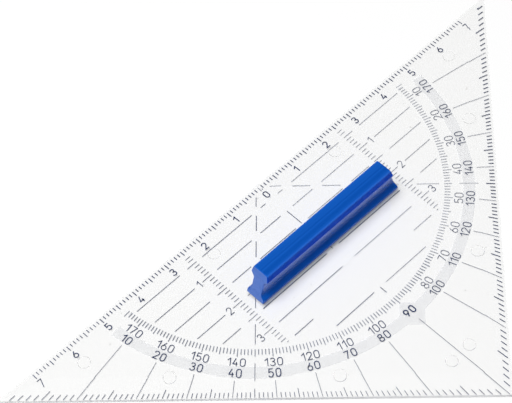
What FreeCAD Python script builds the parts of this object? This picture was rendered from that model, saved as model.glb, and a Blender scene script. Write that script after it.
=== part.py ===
import FreeCAD, Part
import os

import Sketcher

# Geometry set square: a clear bevelled plate, and a grip bar that pegs onto it and pulls off.
#
# Row frame, in millimetres: the origin is the zero mark, in the middle of the ruling edge on the
# plate's printed underside. +X runs along the ruling edge, +Y points out of it, away from the right
# angle, and +Z points up, out of the face that the grip stands on.

SIZES = [
    ("hypotenuse", 160.0, "ruling edge, from tip to tip"),
    ("plate_thickness", 2.0, "plate inside its bevels"),
    ("edge_height", 1.0, "upright edge left under the bevels"),
    ("bevel_width", 5.1, "bevel on the upper face, square to its edge"),
    ("tip_round", 0.4, "radius of the three corners, seen from above"),
    ("foot_diameter", 3.0, "low round foot that keeps wet ink off the plate"),
    ("foot_height", 0.25, "how far a foot stands out of the underside"),
    ("foot_chamfer", 0.12, "bevel round the bottom of a foot"),
    ("ruler_foot_inset", 6.3, "ruling edge to the feet along it"),
    ("inner_foot_offset", 20.0, "zero mark to the inner feet, along the ruling edge"),
    ("outer_foot_setback", 20.0, "acute tip to the outer feet, along the ruling edge"),
    ("leg_foot_inset", 5.7, "short edge to the feet along it"),
    ("apex_foot_setback", 15.4, "right-angle tip to the pair of feet near it, along Y"),
    ("apex_foot_offset", 2.9, "middle line to each foot of that pair"),
    ("grip_inset", 22.1, "ruling edge to the middle line of the grip"),
    ("grip_length", 44.5, "grip along its foot"),
    ("end_slope", 2.25, "how far each end leans in, from its foot to its top"),
    ("foot_width", 5.4, "grip across its foot"),
    ("head_width", 5.35, "grip across its head, at the head's low edge"),
    ("top_width", 4.3, "grip across its top, between the sides of the head"),
    ("grip_waist", 3.3, "grip across its waist"),
    ("grip_height", 8.6, "plate to the ridge of the grip"),
    ("top_crown", 0.06, "draft of the top, from its ridge down to its sides"),
    ("skirt_height", 0.8, "plate to where the foot starts to narrow"),
    ("flare_rise", 1.0, "top of the skirt to the low end of the waist"),
    ("neck_rise", 1.05, "high end of the waist to the low edge of the head"),
    ("head_height", 2.05, "low edge of the head to the ridge"),
    ("shoulder_round", 0.5, "radius where the foot and the head turn towards the waist"),
    ("flare_round", 1.5, "hollow radius where the foot runs into the waist"),
    ("neck_round", 1.2, "hollow radius where the waist runs into the head"),
    ("top_round", 0.45, "radius along the top of the head"),
    ("end_round", 0.3, "radius round the sloped ends"),
    ("peg_diameter", 3.0, "peg under the grip"),
    ("peg_setback", 7.25, "end of the grip's foot to the middle of a peg"),
    ("peg_clearance", 0.05, "gap round a peg in its hole"),
    ("peg_recess", 0.2, "how far a peg ends above the plate's underside"),
    ("peg_chamfer", 0.3, "lead-in at the end of a peg"),
]

TIGHT = 1e-4


def make_sheet(doc):
    """The driving dimensions, one aliased cell for each."""
    sheet = doc.addObject("Spreadsheet::Sheet", "dims")
    for row, (name, value, note) in enumerate(SIZES, start=1):
        sheet.set(f"A{row}", name)
        sheet.set(f"B{row}", str(value))
        sheet.setAlias(f"B{row}", name)
        sheet.set(f"C{row}", note)
    doc.recompute()
    return sheet


def origin_plane(body, role):
    """One of the body's own origin planes."""
    return next(item for item in body.Origin.OriginFeatures if item.Role == role)


def new_sketch(body, name, role):
    sketch = body.newObject("Sketcher::SketchObject", name)
    sketch.AttachmentSupport = (origin_plane(body, role), "")
    sketch.MapMode = "FlatFace"
    return sketch


def pin_point(sketch, geometry, vertex, label, across, along):
    """Holds a point of the sketch at two expressions, counted from the sketch's origin."""
    for kind, axis, expression in (("DistanceX", -2, across), ("DistanceY", -1, along)):
        if expression == "0":
            sketch.addConstraint(Sketcher.Constraint("PointOnObject", geometry, vertex, axis))
            continue
        value = float(sketch.evalExpression(expression))
        number = sketch.addConstraint(Sketcher.Constraint(kind, -1, 1, geometry, vertex, value))
        title = f"{label}_{'x' if kind == 'DistanceX' else 'y'}"
        sketch.renameConstraint(number, title)
        sketch.setExpression(f"Constraints.{title}", expression)


def draw_outline(sketch, corners):
    """A closed outline of straight lines through corners of (label, across, along)."""
    points = [
        FreeCAD.Vector(*(float(sketch.evalExpression(text)) for text in corner[1:]), 0)
        for corner in corners
    ]
    first = sketch.GeometryCount
    count = len(corners)
    for index, point in enumerate(points):
        sketch.addGeometry(Part.LineSegment(point, points[(index + 1) % count]))
    for index, (label, across, along) in enumerate(corners):
        line = first + index
        before = first + (index - 1) % count
        sketch.addConstraint(Sketcher.Constraint("Coincident", before, 2, line, 1))
        pin_point(sketch, line, 1, label, across, along)


def draw_circles(sketch, centres, diameter):
    """Equal circles at centres of (label, across, along)."""
    radius = float(sketch.evalExpression(diameter)) / 2
    for label, across, along in centres:
        middle = [float(sketch.evalExpression(text)) for text in (across, along)]
        circle = Part.Circle(FreeCAD.Vector(*middle, 0), FreeCAD.Vector(0, 0, 1), radius)
        number = sketch.addGeometry(circle)
        pin_point(sketch, number, 3, label, across, along)
        size = sketch.addConstraint(Sketcher.Constraint("Diameter", number, 2 * radius))
        sketch.renameConstraint(size, f"{label}_size")
        sketch.setExpression(f"Constraints.{label}_size", diameter)


def mirrored(corners):
    """The same corners on the other side of the sketch's upright axis, in the opposite order."""
    return [(f"{label}_far", f"-({across})", along) for label, across, along in reversed(corners)]


def add_pad(body, name, sketch, length, side="One side", down=False):
    pad = body.newObject("PartDesign::Pad", name)
    pad.Profile = sketch
    pad.setExpression("Length", length)
    pad.SideType = side
    pad.Reversed = down
    sketch.Visibility = False
    return pad


def add_cut(body, name, sketch):
    """A pocket through everything, to both sides of its sketch."""
    pocket = body.newObject("PartDesign::Pocket", name)
    pocket.Profile = sketch
    pocket.Type = "ThroughAll"
    pocket.SideType = "Symmetric"
    sketch.Visibility = False
    return pocket


def add_mirror(body, name, feature):
    """The feature again, on the other side of the middle plane x = 0."""
    mirror = body.newObject("PartDesign::Mirrored", name)
    mirror.Originals = [feature]
    mirror.MirrorPlane = (origin_plane(body, "YZ_Plane"), [""])
    body.Tip = mirror
    return mirror


def edges_where(feature, test):
    """Names of the feature's edges that pass the test."""
    edges = enumerate(feature.Shape.Edges, start=1)
    found = [f"Edge{number}" for number, edge in edges if test(edge)]
    if not found:
        raise RuntimeError(f"no edge of {feature.Name} was found to dress")
    return found


def add_fillet(body, name, feature, test, radius):
    """A fillet on the edges of the feature that pass the test."""
    feature.Document.recompute()
    fillet = body.newObject("PartDesign::Fillet", name)
    fillet.Base = (feature, edges_where(feature, test))
    fillet.setExpression("Radius", radius)
    return fillet


def add_chamfer(body, name, feature, test, size):
    """An equal chamfer on the edges of the feature that pass the test."""
    feature.Document.recompute()
    chamfer = body.newObject("PartDesign::Chamfer", name)
    chamfer.Base = (feature, edges_where(feature, test))
    chamfer.setExpression("Size", size)
    return chamfer


def is_upright(edge):
    """True for a straight edge parallel to Z."""
    box = edge.BoundBox
    return box.XLength < TIGHT and box.YLength < TIGHT


def lies_at(edge, height):
    """True for an edge that lies flat at that height."""
    box = edge.BoundBox
    return abs(box.ZMin - height) < TIGHT and abs(box.ZMax - height) < TIGHT


def runs_along_x(places):
    """A test for straight edges parallel to X at one of the places (half width, height)."""

    def test(edge):
        box = edge.BoundBox
        if box.YLength > TIGHT or box.ZLength > TIGHT:
            return False
        return any(
            abs(abs(box.YMin + dims.grip_inset) - half_width) < TIGHT
            and abs(box.ZMin - height) < TIGHT
            for half_width, height in places
        )

    return test


PEG_CENTRES = [
    ("right_peg", "dims.grip_length / 2 - dims.peg_setback", "-dims.grip_inset"),
    ("left_peg", "dims.peg_setback - dims.grip_length / 2", "-dims.grip_inset"),
]


def make_slab(body):
    """The right-angled triangle at its full thickness, with its corners rounded."""
    sketch = new_sketch(body, "plate_outline", "XY_Plane")
    draw_outline(
        sketch,
        [
            ("right_tip", "dims.hypotenuse / 2", "0"),
            ("left_tip", "-dims.hypotenuse / 2", "0"),
            ("apex", "0", "-dims.hypotenuse / 2"),
        ],
    )
    slab = add_pad(body, "slab", sketch, "dims.plate_thickness")
    return add_fillet(body, "rounded_tips", slab, is_upright, "dims.tip_round")


def draw_bevel(sketch, edge_distance):
    """A wedge above the line from the upper face down to the top of the upright edge.

    The line runs on past the edge by one bevel width, so that the wedge's outer side is clear.
    """
    inner = f"{edge_distance} - dims.bevel_width"
    outer = f"{edge_distance} + dims.bevel_width"
    draw_outline(
        sketch,
        [
            ("crest", inner, "dims.plate_thickness"),
            ("low_end", outer, "2 * dims.edge_height - dims.plate_thickness"),
            ("high_end", outer, "2 * dims.plate_thickness"),
        ],
    )


def cut_bevels(body):
    """The bevels of the ruling edge and of the two short edges."""
    ruling = new_sketch(body, "ruling_bevel_section", "YZ_Plane")
    draw_bevel(ruling, "0")
    add_cut(body, "ruling_bevel", ruling)

    # The sketch plane turns with its upright axis until it is square to the right-hand short edge.
    leg = new_sketch(body, "leg_bevel_section", "XZ_Plane")
    turn = FreeCAD.Rotation(FreeCAD.Vector(0, 1, 0), -45)
    leg.AttachmentOffset = FreeCAD.Placement(FreeCAD.Vector(0, 0, 0), turn)
    draw_bevel(leg, "dims.hypotenuse / 2 * sin(45)")
    leg_bevel = add_cut(body, "leg_bevel", leg)
    return add_mirror(body, "other_leg_bevel", leg_bevel)


def leg_foot(share):
    """Where a foot stands beside the right-hand short edge, at a share of it from the apex."""
    inwards = "dims.leg_foot_inset * sin(45)"
    across = f"dims.hypotenuse / 2 * {share} - {inwards}"
    along = f"-dims.hypotenuse / 2 * (1 - {share}) + {inwards}"
    return across, along


def add_feet(body):
    """Ten low feet: four along the ruling edge, four along the short edges and a pair near the
    right angle."""
    sketch = new_sketch(body, "right_feet_outline", "XY_Plane")
    across_outer = "dims.hypotenuse / 2 - dims.outer_foot_setback"
    along_apex = "-dims.hypotenuse / 2 + dims.apex_foot_setback"
    centres = [
        ("inner", "dims.inner_foot_offset", "-dims.ruler_foot_inset"),
        ("outer", across_outer, "-dims.ruler_foot_inset"),
        ("upper_leg", *leg_foot("2 / 3")),
        ("lower_leg", *leg_foot("1 / 3")),
        ("apex", "dims.apex_foot_offset", along_apex),
    ]
    draw_circles(sketch, centres, "dims.foot_diameter")
    feet = add_pad(body, "right_feet", sketch, "dims.foot_height", down=True)
    all_feet = add_mirror(body, "left_feet", feet)
    add_chamfer(
        body,
        "chamfered_feet",
        all_feet,
        lambda edge: lies_at(edge, -dims.foot_height),
        "dims.foot_chamfer",
    )


def drill_peg_holes(body):
    """The two holes that the grip's pegs go into."""
    sketch = new_sketch(body, "peg_hole_centres", "XY_Plane")
    diameter = "dims.peg_diameter + 2 * dims.peg_clearance"
    draw_circles(sketch, PEG_CENTRES, diameter)
    add_cut(body, "peg_holes", sketch)


def make_plate(doc):
    body = doc.addObject("PartDesign::Body", "plate")
    make_slab(body)
    cut_bevels(body)
    add_feet(body)
    drill_peg_holes(body)
    return body


def make_grip_bar(body):
    """The bar's section, wide at its foot and head and narrow between them, run along X.

    The grip's mould parts along the middle of the section, so the top drafts off to both sides
    of a ridge there.
    """
    sketch = new_sketch(body, "grip_section", "YZ_Plane")
    middle = "-dims.grip_inset"
    foot = "dims.foot_width / 2"
    waist = "dims.grip_waist / 2"
    head = "dims.head_width / 2"
    top = "dims.top_width / 2"
    heights = [
        ("sole", foot, "0"),
        ("skirt", foot, "dims.skirt_height"),
        ("flare", waist, "dims.skirt_height + dims.flare_rise"),
        ("neck", waist, "dims.grip_height - dims.head_height - dims.neck_rise"),
        ("head", head, "dims.grip_height - dims.head_height"),
        ("top", top, "dims.grip_height - dims.top_crown"),
    ]
    near = [(n, f"{middle} + {half}", f"dims.plate_thickness + {up}") for n, half, up in heights]
    far = [
        (f"{n}_far", f"{middle} - {half}", f"dims.plate_thickness + {up}")
        for n, half, up in reversed(heights)
    ]
    ridge = ("ridge", middle, "dims.plate_thickness + dims.grip_height")
    draw_outline(sketch, [*near, ridge, *far])
    return add_pad(body, "grip_bar", sketch, "dims.grip_length", side="Symmetric")


def round_grip_bar(body, bar):
    """Smooth curves from the foot through the waist to the head, and rounded shoulders."""
    foot = dims.foot_width / 2
    waist = dims.grip_waist / 2
    head = dims.head_width / 2
    top = dims.top_width / 2
    skirt = dims.plate_thickness + dims.skirt_height
    ridge = dims.plate_thickness + dims.grip_height
    head_edge = ridge - dims.head_height
    flares = runs_along_x([(waist, skirt + dims.flare_rise)])
    necks = runs_along_x([(waist, head_edge - dims.neck_rise)])
    shoulders = runs_along_x([(foot, skirt), (head, head_edge)])
    tops = runs_along_x([(top, ridge - dims.top_crown)])
    shape = add_fillet(body, "flare_curve", bar, flares, "dims.flare_round")
    shape = add_fillet(body, "neck_curve", shape, necks, "dims.neck_round")
    shape = add_fillet(body, "shoulders", shape, shoulders, "dims.shoulder_round")
    return add_fillet(body, "top_edges", shape, tops, "dims.top_round")


def slope_grip_ends(body):
    """Cuts both ends back to a slope that leans in over the height of the bar.

    Each wedge runs on past the bar by one bar height, below and above, and its upright side is
    clear of the bar's end.
    """
    sketch = new_sketch(body, "grip_end_wedges", "XZ_Plane")
    low = "dims.plate_thickness - dims.grip_height"
    high = "dims.plate_thickness + 2 * dims.grip_height"
    outside = "dims.grip_length / 2 + dims.end_slope"
    inside = "dims.grip_length / 2 - 2 * dims.end_slope"
    wedge = [
        ("low_end", outside, low),
        ("high_end", outside, high),
        ("inner_end", inside, high),
    ]
    draw_outline(sketch, wedge)
    draw_outline(sketch, mirrored(wedge))
    return add_cut(body, "sloped_ends", sketch)


def round_grip_ends(body, feature):
    """Takes the sharpness off both sloped ends, except along the sole that meets the plate."""
    slope = dims.end_slope / dims.grip_height

    def on_end(point):
        height = point.z - dims.plate_thickness
        return abs(dims.grip_length / 2 - slope * height - abs(point.x)) < TIGHT

    def test(edge):
        if lies_at(edge, dims.plate_thickness):
            return False
        middle = edge.valueAt((edge.FirstParameter + edge.LastParameter) / 2)
        return on_end(middle) and all(on_end(vertex.Point) for vertex in edge.Vertexes)

    return add_fillet(body, "rounded_ends", feature, test, "dims.end_round")


def add_pegs(body):
    """Two round pegs under the foot, with a lead-in, that stop short of the plate's underside."""
    sketch = new_sketch(body, "peg_outlines", "XY_Plane")
    sketch.setExpression("AttachmentOffset.Base.z", "dims.plate_thickness")
    draw_circles(sketch, PEG_CENTRES, "dims.peg_diameter")
    length = "dims.plate_thickness - dims.peg_recess"
    pegs = add_pad(body, "pegs", sketch, length, down=True)
    add_chamfer(
        body,
        "peg_lead_ins",
        pegs,
        lambda edge: lies_at(edge, dims.peg_recess),
        "dims.peg_chamfer",
    )


def make_grip(doc):
    body = doc.addObject("PartDesign::Body", "grip")
    bar = make_grip_bar(body)
    round_grip_bar(body, bar)
    sloped = slope_grip_ends(body)
    round_grip_ends(body, sloped)
    add_pegs(body)
    return body


def check(doc, bodies):
    """Stops if any object of the document failed, or a body has no single valid solid."""
    for item in doc.Objects:
        if "Invalid" in item.State or "Error" in item.State:
            raise RuntimeError(f"{item.Name} did not recompute: {item.State}")
    for body in bodies:
        if body.Shape.isNull() or not body.Shape.isValid() or len(body.Shape.Solids) != 1:
            raise RuntimeError(f"{body.Label} is not one valid solid")


doc = FreeCAD.newDocument("set_square")
dims = make_sheet(doc)
bodies = [make_plate(doc), make_grip(doc)]
doc.recompute()
check(doc, bodies)

os.makedirs("parts", exist_ok=True)
for body in bodies:
    body.Shape.exportStep(f"parts/{body.Label}.step")
    print(body.Label, "volume in cubic millimetres:", round(body.Shape.Volume, 1))
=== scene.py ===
import math

import bpy
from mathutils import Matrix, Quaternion, Vector


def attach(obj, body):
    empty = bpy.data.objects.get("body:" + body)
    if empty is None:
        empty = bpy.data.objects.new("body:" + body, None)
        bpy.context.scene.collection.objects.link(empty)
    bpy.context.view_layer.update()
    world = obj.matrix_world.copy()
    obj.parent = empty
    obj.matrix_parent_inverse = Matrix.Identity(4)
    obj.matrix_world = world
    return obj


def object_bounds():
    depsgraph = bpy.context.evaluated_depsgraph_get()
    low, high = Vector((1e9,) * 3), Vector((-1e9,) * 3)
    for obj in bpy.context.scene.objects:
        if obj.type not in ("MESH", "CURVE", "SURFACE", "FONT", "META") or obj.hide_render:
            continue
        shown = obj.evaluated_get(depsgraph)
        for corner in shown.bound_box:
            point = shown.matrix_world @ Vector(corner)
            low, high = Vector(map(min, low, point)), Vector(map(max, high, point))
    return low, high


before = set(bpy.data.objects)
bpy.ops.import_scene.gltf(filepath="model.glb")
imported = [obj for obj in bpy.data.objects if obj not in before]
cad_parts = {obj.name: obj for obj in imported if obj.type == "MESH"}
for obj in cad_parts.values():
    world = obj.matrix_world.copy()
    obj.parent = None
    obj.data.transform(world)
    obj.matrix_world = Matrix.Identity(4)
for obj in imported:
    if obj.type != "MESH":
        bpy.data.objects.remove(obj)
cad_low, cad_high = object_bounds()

# A clear geometry set square with its printed scales and its blue grip.
#
# The frame is the CAD's: the origin is the zero mark on the plate's underside, +X runs along the
# ruling edge, +Y points out of it and +Z is up. Sizes on the object are in millimetres, and MM turns
# them into metres; the lamp, the floor and the materials' noise are in metres. The print is ink
# inside the plate, just above its underside, so the plate refracts it. Degrees of the protractor
# count from +X, the right-hand side, towards the right angle.

MM = 0.001

# Heights of the print above the underside.
BAND_LEVEL = (0.004, 0.008)
INK_LEVEL = (0.012, 0.024)

# The ruler along the long edge.
RULER_REACH = 70
RULER_LINE = 0.21
RULER_FAR_LINE = 0.17
RULER_FAR_FROM = 51
RULER_OUTER = 0.35
RULER_INNER = 1.35
RULER_FIVE_INNER = 1.85
RULER_NUMBER_DEPTH = 3.4
RULER_STROKE = 0.24
RULER_LAST_STROKE = 0.165
ZERO_MARK_LINE = 0.16
ZERO_DOT = ((0.5, -1.38), (0.5, -1.66))
ZERO_DOT_LINE = 0.28

# The degree scale along both short edges, as sums of the distances across and down from zero.
EDGE_SCALE_OUTER = 79.15
EDGE_SCALE_INNER = 77.4
EDGE_SCALE_FIVE_INNER = 76.1
LEFT_EDGE_LINE = 0.12
RIGHT_EDGE_LINE = 0.19
TEN_DEGREE_START = 52.0
TEN_DEGREE_LINE = 0.092

# The half-circle protractor, as radii from the zero mark.
RING_OUTER = 44.1
RING_INNER = 45.5
RING_FIVE_INNER = 45.9
RING_TEN_INNER = 46.1
RING_FIRST = 5
RING_LAST = 175
# The ticks below this angle are the pale, right-hand ones.
RING_LEFT_FROM = 72
RIGHT_RING_LINE = 0.15
LEFT_RING_LINE = 0.18
INNER_NUMBER_RADIUS = 47.5
OUTER_NUMBER_RADIUS = 50.2
NINETY_RADIUS = 49.1
NINETY_STROKE = 0.29
RIGHT_OUTER_STROKE = 0.175
RIGHT_INNER_STROKE = 0.128
LEFT_OUTER_STROKE = 0.22
LEFT_INNER_STROKE = 0.175

# The band under the outer numbers, and the diamond round its middle.
BAND_RADII = (48.5, 51.3)
BAND_FIRST = 6
BAND_STEPS_PER_DEGREE = 4
DIAMOND_TOP = 45.9
DIAMOND_MIDDLE = 50.0
DIAMOND_BOTTOM = 54.0
DIAMOND_HALF = 4.0

# The lines parallel to the ruling edge, as distances from the middle line.
PARALLEL_STEP = 5
PARALLEL_ROWS = range(1, 9)
CENTRE_GAP = 2.0
DIAGONAL_GAP = (1.4, 1.5)
INNER_REACH = 22.5
OUTER_START = 29.6
OUTER_ROWS = 5
OUTER_REACH_RADIUS = 43.2
SEVENTH_ROW = 7
SEVENTH_ROW_START = 16.6
# The rows that break off early, by their number, and how far each side of them reaches.
LEFT_REACHES = {6: INNER_REACH, 8: 14.2}
RIGHT_REACHES = {6: 21.1, 8: 15.2}
LEFT_PARALLEL_LINE = 0.122
RIGHT_PARALLEL_LINE = 0.09
# The row right beside the grip is drawn with a heavier line, up to the ladders, which paints in the
# grip's shade on it.
GRIP_ROW = 5
GRIP_ROW_PAINTED_SHADE_LINE = 0.17

# The short scales, or ladders, where the parallels break.
LADDER_START = 24.3
LADDER_END = 25.8
LADDER_FIVE_END = 27.2
LADDER_ROWS = range(3, 35)
LADDER_LAST = (24.4, 24.9)
LADDER_LAST_ROW = 35
LADDER_NUMBER_X = 28.2
LADDER_NUMBER_HEIGHT = 2.05
# The widths of the ticks above the fade and below it, and of the numbers 1 to 3.
LADDER_FADE = (18, 28)
LEFT_LADDER_LINES = (0.12, 0.095)
RIGHT_LADDER_LINES = (0.094, 0.094)
LEFT_LADDER_STROKES = (0.17, 0.15, 0.14)
RIGHT_LADDER_STROKES = (0.128, 0.135, 0.132)

# Dashes along the 45-degree lines and down the middle, as distances across and down.
DIAGONAL_DASHES = [
    (2.2, 4.15),
    (5.9, 8.9),
    (10.9, 13.95),
    (15.9, 18.95),
    (20.9, 23.6),
    (26.6, 30.3),
    (33.7, 36.7),
]
DIAGONAL_FADE = (5, 30)
DIAGONAL_LINES = (0.155, 0.11)
CENTRE_DASHES = [(10.1, 14.9), (20.1, 25.0), (40.0, 42.0)]
CENTRE_LINE = 0.145

# Numerals, and the pen that draws every line.
NUMERAL_HEIGHT = 2.1
NUMERAL_GAP = 0.40
ARC_STEPS = 10
SHARPEST_MITRE = 0.4
SAME_POINT = 1e-4
CLOSING_GAP = 1e-3


def arc(middle, radii, first, last, steps=ARC_STEPS):
    """Points of an elliptic arc, from one angle to another in degrees."""
    points = []
    for index in range(steps + 1):
        angle = math.radians(first + (last - first) * index / steps)
        x = middle[0] + radii[0] * math.cos(angle)
        y = middle[1] + radii[1] * math.sin(angle)
        points.append((x, y))
    return points


# Each numeral is a list of strokes along the middle of the pen, in a box 1 high. A stroke that
# ends on its first point is a closed loop.
WIDE = 0.56
HALF = WIDE / 2
NARROW = 0.33


def numeral_zero():
    top = arc((HALF, 1 - HALF), (HALF, HALF), 0, 180)
    bottom = arc((HALF, HALF), (HALF, HALF), 180, 360)
    return [top + bottom + top[:1]]


def numeral_one():
    return [[(0, 0.74), (NARROW, 1), (NARROW, 0)]]


def numeral_two():
    return [arc((HALF, 0.72), (HALF, 0.28), 175, -42) + [(0.01, 0), (WIDE, 0)]]


def numeral_three():
    upper = arc((0.27, 0.765), (0.25, 0.235), 160, -90)
    lower = arc((0.27, 0.265), (0.29, 0.265), 90, -160)
    return [upper + [(0.2, 0.53)], lower]


def numeral_four():
    return [[(0.34, 1), (0, 0.27), (WIDE, 0.27)], [(0.41, 0.52), (0.41, 0)]]


def numeral_five():
    flag = [(0.52, 1), (0.08, 1), (0.05, 0.54)]
    return [flag + arc((0.27, 0.31), (0.29, 0.31), 130, -155)]


def numeral_six():
    bowl = arc((HALF, 0.3), (HALF, 0.3), 160, -200, 2 * ARC_STEPS)
    return [bowl, [(0.40, 1), (0.03, 0.42)]]


def numeral_seven():
    return [[(0, 1), (0.54, 1), (0.18, 0)]]


def numeral_eight():
    upper = arc((HALF, 0.765), (0.235, 0.235), 90, 450, 2 * ARC_STEPS)
    lower = arc((HALF, 0.265), (HALF, 0.265), 90, 450, 2 * ARC_STEPS)
    return [upper, lower]


def numeral_nine():
    return [[(WIDE - x, 1 - y) for x, y in stroke] for stroke in numeral_six()]


NUMERALS = {
    "0": numeral_zero,
    "1": numeral_one,
    "2": numeral_two,
    "3": numeral_three,
    "4": numeral_four,
    "5": numeral_five,
    "6": numeral_six,
    "7": numeral_seven,
    "8": numeral_eight,
    "9": numeral_nine,
}


def numeral_width(digit):
    return NARROW if digit == "1" else WIDE


def number_strokes(text, place, turn, line, height=NUMERAL_HEIGHT):
    """Pen lines of a whole number, centred on a place and turned by an angle in degrees."""
    scale = height - line
    widths = [numeral_width(digit) * scale + line for digit in text]
    start = -(sum(widths) + NUMERAL_GAP * (len(text) - 1)) / 2
    cosine = math.cos(math.radians(turn))
    sine = math.sin(math.radians(turn))
    strokes = []
    for digit, width in zip(text, widths):
        for stroke in NUMERALS[digit]():
            points = []
            for x, y in stroke:
                across = start + line / 2 + x * scale
                up = (y - 0.5) * scale
                points.append((
                    place[0] + across * cosine - up * sine,
                    place[1] + across * sine + up * cosine,
                ))
            strokes.append((points, line))
        start += width + NUMERAL_GAP
    return strokes


def polar(radius, degrees):
    """A point at a radius from the zero mark, at an angle of the protractor."""
    angle = math.radians(degrees)
    return radius * math.cos(angle), -radius * math.sin(angle)


def radius_at_edge(span, degrees):
    """The radius at which a radial line reaches |x| + |y| = span."""
    angle = math.radians(degrees)
    return span / (abs(math.cos(angle)) + math.sin(angle))


def mirror(lines):
    """The same lines on the other side of the middle line."""
    return [([(-x, y) for x, y in points], line) for points, line in lines]


def ruler_ticks():
    lines = []
    for step in range(-RULER_REACH, RULER_REACH + 1):
        if step == 0:
            continue
        inner = RULER_INNER if step % 5 else RULER_FIVE_INNER
        line = RULER_LINE if abs(step) < RULER_FAR_FROM else RULER_FAR_LINE
        lines.append(([(step, -RULER_OUTER), (step, -inner)], line))
    return lines


def zero_mark():
    """The faint tick at zero, and the dot beside it."""
    tick = ([(0, -RULER_OUTER), (0, -RULER_FIVE_INNER)], ZERO_MARK_LINE)
    dot = (list(ZERO_DOT), ZERO_DOT_LINE)
    return [tick, dot]


def ruler_numbers():
    strokes = []
    for x in range(-RULER_REACH, RULER_REACH + 1, 10):
        line = RULER_LAST_STROKE if abs(x) == RULER_REACH else RULER_STROKE
        strokes += number_strokes(str(abs(x) // 10), (x, -RULER_NUMBER_DEPTH), 0, line)
    return strokes


def edge_ticks(degrees_range, line):
    """The degree ticks along one short edge, without the tens, whose lines run further in."""
    lines = []
    for degrees in degrees_range:
        if degrees % 10 == 0:
            continue
        inner = EDGE_SCALE_INNER if degrees % 5 else EDGE_SCALE_FIVE_INNER
        start = polar(radius_at_edge(EDGE_SCALE_OUTER, degrees), degrees)
        end = polar(radius_at_edge(inner, degrees), degrees)
        lines.append(([start, end], line))
    return lines


def ten_degree_lines():
    lines = []
    for degrees in range(10, 180, 10):
        start = polar(TEN_DEGREE_START, degrees)
        end = polar(radius_at_edge(EDGE_SCALE_OUTER, degrees), degrees)
        lines.append(([start, end], TEN_DEGREE_LINE))
    return lines


def ring_ticks(first, last, line):
    """The protractor's ticks from one degree to another, both included."""
    lines = []
    for degrees in range(first, last + 1):
        inner = RING_INNER
        if degrees % 5 == 0:
            inner = RING_FIVE_INNER
        if degrees % 10 == 0:
            inner = RING_TEN_INNER
        lines.append(([polar(RING_OUTER, degrees), polar(inner, degrees)], line))
    return lines


def degree_numbers(radius, line, degrees_range, reading):
    """A row of the protractor's numbers. reading turns an angle into the number printed there."""
    strokes = []
    for degrees in degrees_range:
        place = polar(radius, degrees)
        strokes += number_strokes(str(reading(degrees)), place, 90 - degrees, line)
    return strokes


def parallel_spans(row, reaches):
    """The stretches of one parallel on the right-hand side, as pairs of distances from the middle."""
    depth = row * PARALLEL_STEP
    near = depth - DIAGONAL_GAP[0]
    far = depth + DIAGONAL_GAP[1]
    if row in reaches:
        spans = [(CENTRE_GAP, reaches[row])]
    elif row == SEVENTH_ROW:
        spans = [(SEVENTH_ROW_START, INNER_REACH)]
    elif far < INNER_REACH:
        spans = [(CENTRE_GAP, near), (far, INNER_REACH)]
    else:
        spans = [(CENTRE_GAP, INNER_REACH)]
    if row <= OUTER_ROWS:
        spans.append((OUTER_START, math.sqrt(OUTER_REACH_RADIUS**2 - depth**2)))
    return spans


def parallel_lines(line, reaches):
    """The right-hand half of the lines parallel to the ruling edge."""
    lines = []
    for row in PARALLEL_ROWS:
        depth = row * PARALLEL_STEP
        for start, end in parallel_spans(row, reaches):
            # Beside the grip the row gets the heavier line of painted shade.
            painted_grip_shade = row == GRIP_ROW and end <= INNER_REACH
            width = GRIP_ROW_PAINTED_SHADE_LINE if painted_grip_shade else line
            lines.append(([(start, -depth), (end, -depth)], width))
    return lines


def faded(place, fade, widths):
    """The width at a place of lines that get thinner from one place to another."""
    first, last = fade
    share = min(max((place - first) / (last - first), 0), 1)
    return widths[0] + (widths[1] - widths[0]) * share


def ladder_ticks(widths):
    """The right-hand ladder, with the widths of its first and last ticks."""
    spans = []
    for row in LADDER_ROWS:
        end = LADDER_END if row % 5 else LADDER_FIVE_END
        spans.append((row, LADDER_START, end))
    spans.append((LADDER_LAST_ROW, *LADDER_LAST))
    lines = []
    for row, start, end in spans:
        lines.append(([(start, -row), (end, -row)], faded(row, LADDER_FADE, widths)))
    return lines


def ladder_numbers(side, line_widths):
    """The numbers 1 to 3 beside a ladder. side is 1 on the right and -1 on the left."""
    strokes = []
    for centimetre, line in enumerate(line_widths, start=1):
        place = (side * LADDER_NUMBER_X, -10 * centimetre)
        strokes += number_strokes(str(centimetre), place, 0, line, LADDER_NUMBER_HEIGHT)
    return strokes


def diagonal_dashes():
    """The right-hand 45-degree line."""
    lines = []
    for start, end in DIAGONAL_DASHES:
        line = faded(start, DIAGONAL_FADE, DIAGONAL_LINES)
        lines.append(([(start, -start), (end, -end)], line))
    return lines


def centre_dashes():
    return [([(0, -a), (0, -b)], CENTRE_LINE) for a, b in CENTRE_DASHES]


def pen_borders(points, closed, half):
    """The left and right border of a pen line, mitred at its corners."""
    count = len(points)
    borders = []
    for index, point in enumerate(points):
        before = points[index - 1] if index or closed else None
        after = points[(index + 1) % count] if index < count - 1 or closed else None
        normals = []
        for start, end in ((before, point), (point, after)):
            if start is None or end is None:
                continue
            along = Vector((end[0] - start[0], end[1] - start[1])).normalized()
            normals.append(Vector((-along.y, along.x)))
        mean = sum(normals, Vector((0, 0))).normalized()
        reach = half / max(mean.dot(normals[0]), SHARPEST_MITRE)
        middle = Vector(point)
        borders.append((middle + mean * reach, middle - mean * reach))
    return borders


def without_repeats(points):
    """The points without those that lie on the one before, and whether the line closes."""
    kept = [points[0]]
    for point in points[1:]:
        if math.dist(point, kept[-1]) > SAME_POINT:
            kept.append(point)
    closed = len(kept) > 2 and math.dist(kept[0], kept[-1]) < CLOSING_GAP
    return (kept[:-1], True) if closed else (kept, False)


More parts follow.
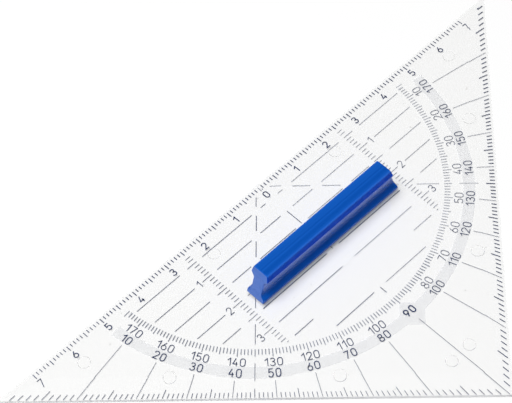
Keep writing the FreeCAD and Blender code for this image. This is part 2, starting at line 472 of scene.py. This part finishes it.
def add_strip(vertices, faces, borders, closed, level):
    """Adds one pen line to a mesh, as a strip with an underside, an upper side and rims."""
    first = len(vertices)
    for left, right in borders:
        for height in level:
            vertices.append((left.x * MM, left.y * MM, height * MM))
            vertices.append((right.x * MM, right.y * MM, height * MM))
    count = len(borders)
    for index in range(count if closed else count - 1):
        a = first + 4 * index
        b = first + 4 * ((index + 1) % count)
        faces.append((a, a + 1, b + 1, b))
        faces.append((a + 2, b + 2, b + 3, a + 3))
        faces.append((a, b, b + 2, a + 2))
        faces.append((a + 1, a + 3, b + 3, b + 1))
    if not closed:
        end = first + 4 * (count - 1)
        faces.append((first, first + 2, first + 3, first + 1))
        faces.append((end, end + 1, end + 3, end + 2))


def add_piece(name, vertices, faces, material):
    """A mesh piece that rides on the plate."""
    mesh = bpy.data.meshes.new(name)
    mesh.from_pydata(vertices, [], faces)
    mesh.validate()
    piece = bpy.data.objects.new(name, mesh)
    bpy.context.scene.collection.objects.link(piece)
    piece.data.materials.append(material)
    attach(piece, "plate")


def add_print(name, lines, material):
    """One piece of print, from pen lines of (points, width)."""
    vertices = []
    faces = []
    for raw, width in lines:
        points, closed = without_repeats(raw)
        add_strip(vertices, faces, pen_borders(points, closed, width / 2), closed, INK_LEVEL)
    add_piece(name, vertices, faces, material)


def band_border(radius, tip):
    """The right-hand half of one border of the band, from its end to its tip on the middle line."""
    points = []
    for step in range(BAND_STEPS_PER_DEGREE * (90 - BAND_FIRST) + 1):
        x, y = polar(radius, BAND_FIRST + step / BAND_STEPS_PER_DEGREE)
        height_share = abs(-y - DIAMOND_MIDDLE) / abs(tip - DIAMOND_MIDDLE)
        if x > DIAMOND_HALF * (1 - height_share):
            points.append((x, y))
    return points + [(0, -tip)]


def band_outline():
    """The band under the protractor's outer numbers, with a diamond round its middle."""
    low = band_border(BAND_RADII[0], DIAMOND_TOP)
    high = band_border(BAND_RADII[1], DIAMOND_BOTTOM)
    left_low = [(-x, y) for x, y in reversed(low[:-1])]
    left_high = [(-x, y) for x, y in high[:-1]]
    return low + left_low + left_high + list(reversed(high))


def add_band(material):
    """The band as a thin closed slab."""
    outline = band_outline()
    count = len(outline)
    vertices = [(x * MM, y * MM, height * MM) for height in BAND_LEVEL for x, y in outline]
    faces = [tuple(reversed(range(count))), tuple(range(count, 2 * count))]
    for index in range(count):
        after = (index + 1) % count
        faces.append((index, after, count + after, count + index))
    add_piece("reading_band", vertices, faces, material)


def new_material(name):
    material = bpy.data.materials.new(name)
    material.use_nodes = True
    nodes = material.node_tree.nodes
    return material, nodes, material.node_tree.links, nodes["Principled BSDF"]


def join(nodes, links, operation, *inputs):
    """One step of arithmetic between outputs of nodes."""
    step = nodes.new("ShaderNodeMath")
    step.operation = operation
    for socket, source in zip(step.inputs, inputs):
        links.new(source, socket)
    return step.outputs[0]


def add_noise(nodes, links, scale, detail, stretch=(1, 1, 1)):
    """Noise over the piece in its own metres. scale is its number of waves per metre."""
    place = nodes.new("ShaderNodeTexCoord")
    mapping = nodes.new("ShaderNodeMapping")
    mapping.inputs["Scale"].default_value = stretch
    noise = nodes.new("ShaderNodeTexNoise")
    noise.inputs["Scale"].default_value = scale
    noise.inputs["Detail"].default_value = detail
    links.new(place.outputs["Object"], mapping.inputs["Vector"])
    links.new(mapping.outputs["Vector"], noise.inputs["Vector"])
    return noise.outputs["Fac"]


def spread(nodes, links, source, low, high, to_low=0.0, to_high=1.0):
    """Stretches a value from one range to another, and clamps it there."""
    ramp = nodes.new("ShaderNodeMapRange")
    for socket, value in (
        ("From Min", low),
        ("From Max", high),
        ("To Min", to_low),
        ("To Max", to_high),
    ):
        ramp.inputs[socket].default_value = value
    links.new(source, ramp.inputs["Value"])
    return ramp.outputs["Result"]


# A Mix node has sockets of one name for every kind of value, so its colours go by number.
MIX_COLOUR_INPUTS = (6, 7)
MIX_COLOUR_OUTPUT = 2


def blend_colours(nodes, links, share, first, second):
    """The first colour where share is 0, and the second where it is 1. Each may be an output."""
    mix = nodes.new("ShaderNodeMix")
    mix.data_type = "RGBA"
    links.new(share, mix.inputs["Factor"])
    for number, colour in zip(MIX_COLOUR_INPUTS, (first, second)):
        if hasattr(colour, "is_output"):
            links.new(colour, mix.inputs[number])
        else:
            mix.inputs[number].default_value = (*colour, 1)
    return mix.outputs[MIX_COLOUR_OUTPUT]


def add_bump(nodes, links, shader, height, distance):
    bump = nodes.new("ShaderNodeBump")
    bump.inputs["Distance"].default_value = distance
    links.new(height, bump.inputs["Height"])
    links.new(bump.outputs["Normal"], shader.inputs["Normal"])


def size_of_normal(nodes, links, axis):
    """How far the piece's own surface faces along or against an axis, from 0 to 1."""
    place = nodes.new("ShaderNodeTexCoord")
    parts = nodes.new("ShaderNodeSeparateXYZ")
    links.new(place.outputs["Normal"], parts.inputs["Vector"])
    return join(nodes, links, "ABSOLUTE", parts.outputs[axis])


# The clear plastic. A noise is its waves per metre and its detail, and a range says which part of
# the noise shows.
CLEAR_IOR = 1.49
CLEAR_TINT = (0.987, 0.987, 0.982)
SPECK_TINT = (0.72, 0.72, 0.70)
SPECK_NOISE = (520, 1.0)
SPECK_RANGE = (0.765, 0.80)
WORN_NOISE = (90, 6.0)
WORN_RANGE = (0.62, 0.80)
WORN_ROUGHNESS = 0.05
SHORT_EDGE_FACING = (0.3, 0.6)
SHORT_EDGE_ROUGHNESS = 0.85


def clear_plastic():
    """Clear plastic with a faint tint, specks and worn patches, and matt along its short edges.

    Lamps and soft light pass straight through it, so it casts no shadow.
    """
    material, nodes, links, shader = new_material("clear_plastic")
    shader.inputs["Transmission Weight"].default_value = 1.0
    shader.inputs["IOR"].default_value = CLEAR_IOR
    specks = spread(nodes, links, add_noise(nodes, links, *SPECK_NOISE), *SPECK_RANGE)
    links.new(blend_colours(nodes, links, specks, CLEAR_TINT, SPECK_TINT), shader.inputs["Base Color"])
    patches = add_noise(nodes, links, *WORN_NOISE)
    worn = spread(nodes, links, patches, *WORN_RANGE, 0.0, WORN_ROUGHNESS)
    across = size_of_normal(nodes, links, "X")
    matt = spread(nodes, links, across, *SHORT_EDGE_FACING, 0.0, SHORT_EDGE_ROUGHNESS)
    links.new(join(nodes, links, "MAXIMUM", worn, matt), shader.inputs["Roughness"])
    path = nodes.new("ShaderNodeLightPath").outputs
    unseen = join(nodes, links, "MAXIMUM", path["Is Shadow Ray"], path["Is Diffuse Ray"])
    through = nodes.new("ShaderNodeBsdfTransparent")
    mix = nodes.new("ShaderNodeMixShader")
    links.new(unseen, mix.inputs["Fac"])
    links.new(shader.outputs["BSDF"], mix.inputs[1])
    links.new(through.outputs["BSDF"], mix.inputs[2])
    links.new(mix.outputs["Shader"], nodes["Material Output"].inputs["Surface"])
    return material


BLUE_SPECULAR = 0.3
BLUE_SPECULAR_TINT = (0.0, 0.1, 1.0, 1)
# The grip's blue by height above the plate's underside, with painted light in it: deep on the foot, a
# painted pale reflection on the upright waist, a purer blue painted on the leaning sides of the head to
# hide their reflection, and a painted highlight round the top edge.
BLUE_AND_PAINTED_SHEEN_BY_HEIGHT = [
    (3.8, (0.003, 0.080, 0.43)),
    (4.5, (0.010, 0.086, 0.45)),
    (5.3, (0.035, 0.115, 0.50)),
    (6.4, (0.110, 0.230, 0.80)),
    (8.55, (0.110, 0.230, 0.80)),
    (8.85, (0.000, 0.052, 0.56)),
    (10.1, (0.000, 0.060, 0.57)),
    (10.3, (0.025, 0.150, 0.68)),
    (10.5, (0.025, 0.150, 0.68)),
    (10.56, (0.003, 0.078, 0.42)),
]
# Its roughness by height: glossy at the waist, matt on the sides of the head.
ROUGH_BY_HEIGHT = [(3.8, 0.30), (4.8, 0.15), (8.55, 0.15), (8.85, 0.55), (10.1, 0.55), (10.4, 0.30)]
# How far the blue turns into a lighter one across the bar, by its Y: along a fine line near the
# middle of the top, and a little over the whole far half.
LIGHT_BLUE = (0.010, 0.125, 0.58)
LIGHT_ACROSS = [
    (-22.80, 0.0),
    (-22.50, 0.3),
    (-22.28, 0.6),
    (-22.10, 0.1),
    (-21.90, 0.0),
    (-21.65, 0.35),
]
# Fine streaks along the bar, as waves per metre, detail and stretch, with their shares of light
# blue and their depth in metres.
STREAK_NOISE = (700, 4.0, (0.02, 1, 1))
STREAK_RANGE = (0.3, 0.7)
STREAK_SHARES = (0.0, 0.3)
STREAK_DEPTH = 0.00002
# The paler blue of the sloped ends, which paints in the extra light and reflection they catch, and how
# far a surface faces along the bar to have it.
END_PAINTED_REFLECTION_BLUE = (0.108, 0.23, 0.70)
END_FACING = (0.80, 0.93)
# A fine grain that the roughness is multiplied by.
GRAIN_NOISE = (2600, 3.0, (0.25, 1, 1))
GRAIN_RANGE = (0.3, 0.7)
GRAIN_FACTORS = (0.8, 1.2)


def greys(stops):
    """Stops of plain numbers, as stops of colours."""
    return [(place, (value, value, value)) for place, value in stops]


def colour_by_place(nodes, links, place, stops):
    """The colour at a coordinate in metres, from a list of (millimetres, colour) stops."""
    low, high = stops[0][0], stops[-1][0]
    ramp = nodes.new("ShaderNodeValToRGB")
    elements = ramp.color_ramp.elements
    while len(elements) < len(stops):
        elements.new(0.5)
    for element, (stop, colour) in zip(elements, stops):
        element.position = (stop - low) / (high - low)
        element.color = (*colour, 1)
    links.new(spread(nodes, links, place, low * MM, high * MM), ramp.inputs["Fac"])
    return ramp.outputs["Color"]


def blue_plastic():
    """Blue plastic, finely streaked along the bar, with painted reflections, shade and a highlight by
    height, and a painted paler blue on its sloped ends.
    """
    material, nodes, links, shader = new_material("blue_plastic")
    shader.inputs["Specular IOR Level"].default_value = BLUE_SPECULAR
    shader.inputs["Specular Tint"].default_value = BLUE_SPECULAR_TINT
    streaks = add_noise(nodes, links, *STREAK_NOISE)
    place = nodes.new("ShaderNodeTexCoord")
    spot = nodes.new("ShaderNodeSeparateXYZ")
    links.new(place.outputs["Object"], spot.inputs["Vector"])
    light_share = join(
        nodes,
        links,
        "ADD",
        spread(nodes, links, streaks, *STREAK_RANGE, *STREAK_SHARES),
        colour_by_place(nodes, links, spot.outputs["Y"], greys(LIGHT_ACROSS)),
    )
    # The ramp by height paints reflections, a highlight and shade into the blue.
    blue_and_painted_sheen = colour_by_place(nodes, links, spot.outputs["Z"], BLUE_AND_PAINTED_SHEEN_BY_HEIGHT)
    streaked_blue_and_painted_sheen = blend_colours(nodes, links, light_share, blue_and_painted_sheen, LIGHT_BLUE)
    at_end = spread(nodes, links, size_of_normal(nodes, links, "X"), *END_FACING)
    links.new(blend_colours(nodes, links, at_end, streaked_blue_and_painted_sheen, END_PAINTED_REFLECTION_BLUE), shader.inputs["Base Color"])
    grain = add_noise(nodes, links, *GRAIN_NOISE)
    roughness = join(
        nodes,
        links,
        "MULTIPLY",
        colour_by_place(nodes, links, spot.outputs["Z"], greys(ROUGH_BY_HEIGHT)),
        spread(nodes, links, grain, *GRAIN_RANGE, *GRAIN_FACTORS),
    )
    links.new(roughness, shader.inputs["Roughness"])
    add_bump(nodes, links, shader, streaks, STREAK_DEPTH)
    return material


# The inks: the darker and the lighter of each one's two colours.
DARK_INK = ((0.012, 0.028, 0.10), (0.030, 0.052, 0.14))
GREY_INK = ((0.20, 0.22, 0.28), (0.33, 0.35, 0.42))
PALE_INK = ((0.40, 0.42, 0.48), (0.52, 0.54, 0.60))
INK_NOISE = (900, 2.0)
INK_RANGE = (0.35, 0.7)
INK_ROUGHNESS = 0.6
BAND_COLOURS = ((0.86, 0.88, 0.94), (0.92, 0.94, 0.98))
BAND_NOISE = (160, 4.0)
BAND_RANGE = (0.3, 0.7)
BAND_ROUGHNESS = 0.7
BAND_COVER = 0.11
PRINT_SPECULAR = 0.1


def print_material(name, roughness, noise, noise_range, colours):
    """Print that is a little uneven, between two colours. Returns the material and its shader."""
    material, nodes, links, shader = new_material(name)
    shader.inputs["Roughness"].default_value = roughness
    shader.inputs["Specular IOR Level"].default_value = PRINT_SPECULAR
    share = spread(nodes, links, add_noise(nodes, links, *noise), *noise_range)
    links.new(blend_colours(nodes, links, share, *colours), shader.inputs["Base Color"])
    return material, shader


def ink(name, colours):
    """Opaque ink."""
    return print_material(name, INK_ROUGHNESS, INK_NOISE, INK_RANGE, colours)[0]


def band_tint():
    """The band's thin, see-through tint."""
    material, shader = print_material(
        "band_tint", BAND_ROUGHNESS, BAND_NOISE, BAND_RANGE, BAND_COLOURS
    )
    shader.inputs["Alpha"].default_value = BAND_COVER
    return material


FLOOR_COLOUR = 0.84
# The floor's glow beside the object and far from it, where less light from the lamp arrives.
FLOOR_GLOW = (0.17, 0.92)
FLOOR_GLOW_RANGE = (0.3, 1.8)
FLOOR_HALF = 6.0
# The floor lies a hair below the feet, so that their undersides and the floor are two surfaces.
FLOOR_GAP = 0.02 * MM


def white_floor():
    """White for the camera, mirrors and glass, with the object's shadow kept."""
    material, nodes, links, shader = new_material("white_floor")
    nodes.remove(shader)
    diffuse = nodes.new("ShaderNodeBsdfDiffuse")
    diffuse.inputs["Color"].default_value = (FLOOR_COLOUR, FLOOR_COLOUR, FLOOR_COLOUR, 1)
    path = nodes.new("ShaderNodeLightPath").outputs
    mirrored = join(nodes, links, "MAXIMUM", path["Is Glossy Ray"], path["Is Transmission Ray"])
    seen = join(nodes, links, "MAXIMUM", path["Is Camera Ray"], mirrored)
    place = nodes.new("ShaderNodeTexCoord")
    distance = nodes.new("ShaderNodeVectorMath")
    distance.operation = "LENGTH"
    links.new(place.outputs["Object"], distance.inputs[0])
    strength = spread(nodes, links, distance.outputs["Value"], *FLOOR_GLOW_RANGE, *FLOOR_GLOW)
    glow = nodes.new("ShaderNodeEmission")
    links.new(join(nodes, links, "MULTIPLY", seen, strength), glow.inputs["Strength"])
    both = nodes.new("ShaderNodeAddShader")
    links.new(diffuse.outputs[0], both.inputs[0])
    links.new(glow.outputs[0], both.inputs[1])
    links.new(both.outputs[0], nodes["Material Output"].inputs["Surface"])
    return material


def add_floor(height):
    signs = ((-1, -1), (1, -1), (1, 1), (-1, 1))
    mesh = bpy.data.meshes.new("floor")
    mesh.from_pydata([(x * FLOOR_HALF, y * FLOOR_HALF, height) for x, y in signs], [], [(0, 1, 2, 3)])
    floor = bpy.data.objects.new("floor", mesh)
    bpy.context.scene.collection.objects.link(floor)
    floor.data.materials.append(white_floor())


SOFTBOX_PLACE = (-0.24, 0.03, 1.15)
SOFTBOX_SIZE = 0.6
SOFTBOX_POWER = 11.5


def add_softbox():
    """One soft lamp overhead, a little to the left. Neither gloss nor clear glass shows its outline."""
    light = bpy.data.lights.new("softbox", "AREA")
    light.shape = "DISK"
    light.size = SOFTBOX_SIZE
    light.energy = SOFTBOX_POWER
    lamp = bpy.data.objects.new("softbox", light)
    lamp.location = SOFTBOX_PLACE
    lamp.rotation_mode = "QUATERNION"
    lamp.rotation_quaternion = (-Vector(SOFTBOX_PLACE)).to_track_quat("-Z", "Y")
    lamp.visible_glossy = False
    lamp.visible_transmission = False
    bpy.context.scene.collection.objects.link(lamp)


# The room's light, brighter round one direction. A range is of cosines of the angle from there.
CEILING_MIDDLE = (-0.25, 0.0, 0.97)
CEILING_RANGE = (0.86, 0.95)
CEILING_STRENGTHS = (0.18, 0.5)
# Gloss and glass see white walls, for clean edges, except round this direction, which the plate's
# upper side mirrors to the camera.
DIM_MIDDLE = (0.37, 0.55, 0.75)
DIM_RANGE = (0.70, 0.82)
WALL_STRENGTHS = (1.0, 0.0)


def towards(nodes, links, direction, cosines, values):
    """A value of the world that changes with the cosine of the angle from a direction."""
    place = nodes.new("ShaderNodeTexCoord")
    angle = nodes.new("ShaderNodeVectorMath")
    angle.operation = "DOT_PRODUCT"
    angle.inputs[1].default_value = Vector(direction).normalized()
    links.new(place.outputs["Generated"], angle.inputs[0])
    return spread(nodes, links, angle.outputs["Value"], *cosines, *values)


def add_world():
    """A dim room, brighter overhead. The camera sees white, and gloss and glass see white walls."""
    world = bpy.data.worlds.new("studio")
    world.use_nodes = True
    nodes = world.node_tree.nodes
    links = world.node_tree.links
    room = towards(nodes, links, CEILING_MIDDLE, CEILING_RANGE, CEILING_STRENGTHS)
    around = towards(nodes, links, DIM_MIDDLE, DIM_RANGE, WALL_STRENGTHS)
    path = nodes.new("ShaderNodeLightPath").outputs
    mirrored = join(nodes, links, "MAXIMUM", path["Is Glossy Ray"], path["Is Transmission Ray"])
    walls = join(nodes, links, "MULTIPLY", around, mirrored)
    white = join(nodes, links, "MAXIMUM", walls, path["Is Camera Ray"])
    strength = join(nodes, links, "MAXIMUM", room, white)
    links.new(strength, nodes["Background"].inputs["Strength"])
    nodes["Background"].inputs["Color"].default_value = (1, 1, 1, 1)
    bpy.context.scene.world = world


# The camera, fitted to about 500 printed lines of the photo. The photo is cropped off its middle,
# which the shift makes up for.
CAMERA_TARGET = Vector((3.644, -9.376, 0.75)) * MM
CAMERA_DISTANCE = 464.677 * MM
CAMERA_AZIMUTH = 43.396
CAMERA_ELEVATION = 55.77
CAMERA_ROLL = -2.174
CAMERA_SENSOR = 36.0
CAMERA_LENS = 139.611
CAMERA_SHIFT = (-0.0777, -0.0029)
CAMERA_CLIP = (0.01, 50.0)


def add_camera():
    data = bpy.data.cameras.new("camera")
    data.sensor_width = CAMERA_SENSOR
    data.lens = CAMERA_LENS
    data.shift_x, data.shift_y = CAMERA_SHIFT
    data.clip_start, data.clip_end = CAMERA_CLIP
    camera = bpy.data.objects.new("camera", data)
    azimuth = math.radians(CAMERA_AZIMUTH)
    elevation = math.radians(CAMERA_ELEVATION)
    back = Vector((
        -math.sin(azimuth) * math.cos(elevation),
        -math.cos(azimuth) * math.cos(elevation),
        math.sin(elevation),
    ))
    camera.location = CAMERA_TARGET + back * CAMERA_DISTANCE
    camera.rotation_mode = "QUATERNION"
    level = (-back).to_track_quat("-Z", "Y")
    camera.rotation_quaternion = level @ Quaternion((0, 0, 1), math.radians(CAMERA_ROLL))
    bpy.context.scene.collection.objects.link(camera)
    bpy.context.scene.camera = camera


def dress_nodes():
    """Gives the two CAD nodes their plastics."""
    for name, material in (("plate", clear_plastic()), ("grip", blue_plastic())):
        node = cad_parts[name]
        node.data.materials.clear()
        node.data.materials.append(material)


def add_all_print():
    """Every piece of ink. Each side of the print has its own widths, and here and there its own ink."""
    dark = ink("dark_ink", DARK_INK)
    grey = ink("grey_ink", GREY_INK)
    pale = ink("pale_ink", PALE_INK)
    number_rows = (
        ("right", range(10, 90, 10), RIGHT_INNER_STROKE, RIGHT_OUTER_STROKE),
        ("left", range(100, 180, 10), LEFT_INNER_STROKE, LEFT_OUTER_STROKE),
    )

    add_print("ruler_ticks", ruler_ticks(), dark)
    add_print("ruler_numbers", ruler_numbers(), dark)
    add_print("zero_mark", zero_mark(), grey)
    add_print("right_edge_ticks", edge_ticks(range(1, 90), RIGHT_EDGE_LINE), dark)
    add_print("left_edge_ticks", edge_ticks(range(91, 180), LEFT_EDGE_LINE), dark)
    add_print("ten_degree_lines", ten_degree_lines(), dark)
    right_ring = ring_ticks(RING_FIRST, RING_LEFT_FROM - 1, RIGHT_RING_LINE)
    add_print("right_ring_ticks", right_ring, pale)
    add_print("left_ring_ticks", ring_ticks(RING_LEFT_FROM, RING_LAST, LEFT_RING_LINE), grey)
    for side, tens, inner_line, outer_line in number_rows:
        inner = degree_numbers(INNER_NUMBER_RADIUS, inner_line, tens, lambda d: d)
        outer = degree_numbers(OUTER_NUMBER_RADIUS, outer_line, tens, lambda d: 180 - d)
        add_print(f"{side}_inner_numbers", inner, dark)
        add_print(f"{side}_outer_numbers", outer, dark)
    ninety = number_strokes("90", polar(NINETY_RADIUS, 90), 0, NINETY_STROKE)
    add_print("ninety", ninety, dark)
    add_print("right_parallels", parallel_lines(RIGHT_PARALLEL_LINE, RIGHT_REACHES), dark)
    add_print("left_parallels", mirror(parallel_lines(LEFT_PARALLEL_LINE, LEFT_REACHES)), dark)
    add_print("right_ladder", ladder_ticks(RIGHT_LADDER_LINES), dark)
    add_print("left_ladder", mirror(ladder_ticks(LEFT_LADDER_LINES)), dark)
    add_print("right_ladder_numbers", ladder_numbers(1, RIGHT_LADDER_STROKES), dark)
    add_print("left_ladder_numbers", ladder_numbers(-1, LEFT_LADDER_STROKES), dark)
    add_print("right_dashes", diagonal_dashes(), pale)
    add_print("left_dashes", mirror(diagonal_dashes()), dark)
    add_print("centre_dashes", centre_dashes(), dark)


# Light that is guided inside the plate bounces many times before it leaves at an edge.
BOUNCES = 64

dress_nodes()
add_all_print()
add_band(band_tint())
add_floor(cad_low.z - FLOOR_GAP)
add_softbox()
add_world()
add_camera()

scene = bpy.context.scene
scene.view_settings.view_transform = "Standard"
scene.cycles.max_bounces = BOUNCES
scene.cycles.glossy_bounces = BOUNCES
scene.cycles.transmission_bounces = BOUNCES
